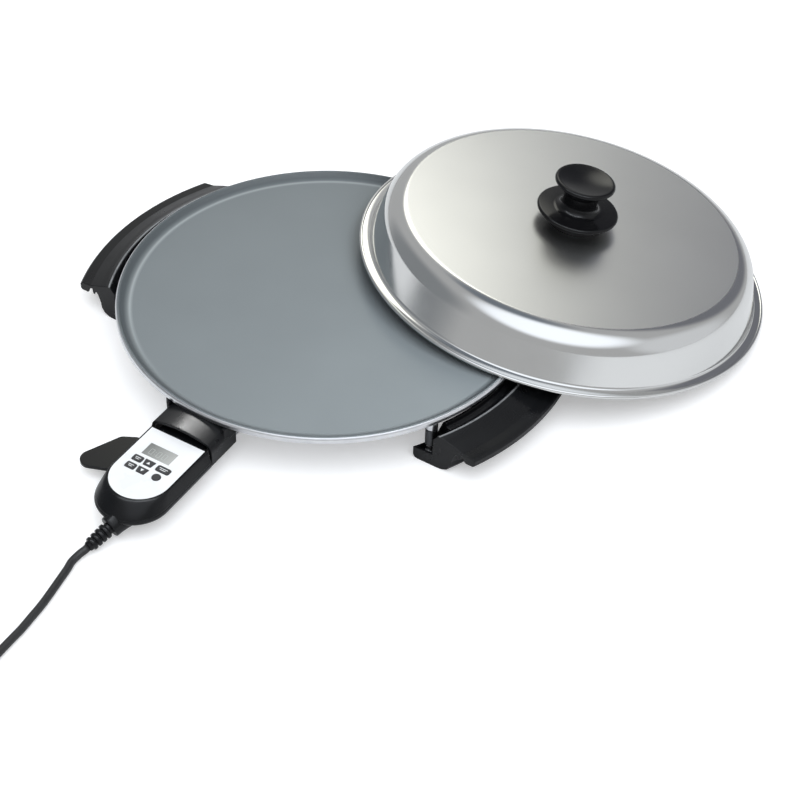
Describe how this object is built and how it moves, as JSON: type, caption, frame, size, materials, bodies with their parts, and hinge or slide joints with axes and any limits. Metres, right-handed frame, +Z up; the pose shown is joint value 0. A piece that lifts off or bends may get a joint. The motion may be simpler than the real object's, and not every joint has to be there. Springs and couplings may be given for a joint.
{
  "type": "electric crepe maker",
  "caption": "Round electric crepe maker with a shallow pan, two side handles, a plug-in temperature control and a loose domed lid leaning on it.",
  "frame": {"origin": "middle of the footprint of the pan, the control and the leaning lid, on the table, without the cord", "axes": "+Z up from the table; +X from the pan towards the leaning lid; +Y towards the back, away from the control's side"},
  "size_m": [0.804, 0.7769, 0.1378],
  "materials": {
    "pan_casting": "grey non-stick coat over cast aluminium, bare on the outer band",
    "heater_sheath": "heat-stained sheath",
    "ceramic": "unglazed ceramic look",
    "terminal_steel": "nickel plated",
    "phenolic": "moulded phenolic, satin gloss",
    "fastener_steel": "zinc plated",
    "post_metal": "dark coated",
    "control_plastic": "satin gloss",
    "faceplate_silver": "satin, silver white",
    "display_window": "clear cover over a grey display",
    "display_grey": "grey liquid crystal",
    "board_green": "circuit board",
    "mat_rubber": "silicone",
    "relay_blue": "moulded",
    "capacitor_yellow": "moulded",
    "contact_brass": "plain",
    "clamp_plastic": "nylon",
    "cord_rubber": "matt black",
    "tie_plastic": "woven strap",
    "plug_plastic": "moulded",
    "lid_steel": "polished stainless steel",
    "knob_phenolic": "moulded phenolic, glossy",
    "key_plastic": "dark grey"
  },
  "bodies": {
    "base": {"pan": "pan_casting", "heater_element": "heater_sheath", "terminal_insulators": "ceramic", "terminal_pins": "terminal_steel", "socket_hood": "phenolic", "hood_screws": "fastener_steel", "handle_left": "phenolic", "handle_right": "phenolic", "handle_posts": "post_metal", "handle_nuts": "fastener_steel", "handle_washers": "fastener_steel", "handle_screws": "fastener_steel"},
    "lid": {"lid_crown": "lid_steel", "lid_side": "lid_steel", "knob_collar": "knob_phenolic", "knob": "knob_phenolic", "knob_insert": "contact_brass", "knob_screw": "fastener_steel", "knob_washer": "fastener_steel"},
    "control": {"housing_cover": "control_plastic", "housing_base": "control_plastic", "housing_screws": "fastener_steel", "faceplate": "faceplate_silver", "display_window": "display_window", "display_module": "display_grey", "circuit_board": "board_green", "key_mat": "mat_rubber", "power_board": "board_green", "relay": "relay_blue", "capacitor": "capacitor_yellow", "contact_carrier": "ceramic", "contact_sleeves": "contact_brass", "sensor_rod": "terminal_steel", "lever_pin": "fastener_steel", "strain_relief": "cord_rubber", "cord_clamp": "clamp_plastic", "cord_run": "cord_rubber", "cord_coil": "cord_rubber", "cord_tail": "cord_rubber", "coil_tie": "tie_plastic", "plug_body": "plug_plastic", "plug_pins": "terminal_steel"},
    "lever": {"eject_lever": "control_plastic"},
    "key_up_cap": {"key_up": "key_plastic"},
    "key_down_cap": {"key_down": "key_plastic"},
    "key_first_cap": {"key_first": "key_plastic"},
    "key_second_cap": {"key_second": "key_plastic"},
    "key_wide_cap": {"key_wide": "key_plastic"},
    "key_round_cap": {"key_round": "key_plastic"}
  },
  "joints": [
    {"name": "lid_lift", "type": "slide", "parent": "base", "child": "lid", "axis": [0, 0, 1], "range_m": [0, 0.15]},
    {"name": "control_unplug", "type": "slide", "parent": "base", "child": "control", "axis": [-0.5, -0.866, 0], "range_m": [0, 0.09]},
    {"name": "lever_swing", "type": "hinge", "parent": "control", "child": "lever", "pos_m": [-0.24835, -0.20204, 0.015], "axis": [0, 0, 1], "range_deg": [0, 22]},
    {"name": "key_up_press", "type": "slide", "parent": "control", "child": "key_up_cap", "axis": [0, 0, -1], "range_m": [0, 0.001], "stiffness_N_per_m": 300},
    {"name": "key_down_press", "type": "slide", "parent": "control", "child": "key_down_cap", "axis": [0, 0, -1], "range_m": [0, 0.001], "stiffness_N_per_m": 300},
    {"name": "key_first_press", "type": "slide", "parent": "control", "child": "key_first_cap", "axis": [0, 0, -1], "range_m": [0, 0.001], "stiffness_N_per_m": 300},
    {"name": "key_second_press", "type": "slide", "parent": "control", "child": "key_second_cap", "axis": [0, 0, -1], "range_m": [0, 0.001], "stiffness_N_per_m": 300},
    {"name": "key_wide_press", "type": "slide", "parent": "control", "child": "key_wide_cap", "axis": [0, 0, -1], "range_m": [0, 0.001], "stiffness_N_per_m": 300},
    {"name": "key_round_press", "type": "slide", "parent": "control", "child": "key_round_cap", "axis": [0, 0, -1], "range_m": [0, 0.001], "stiffness_N_per_m": 300}
  ]
}
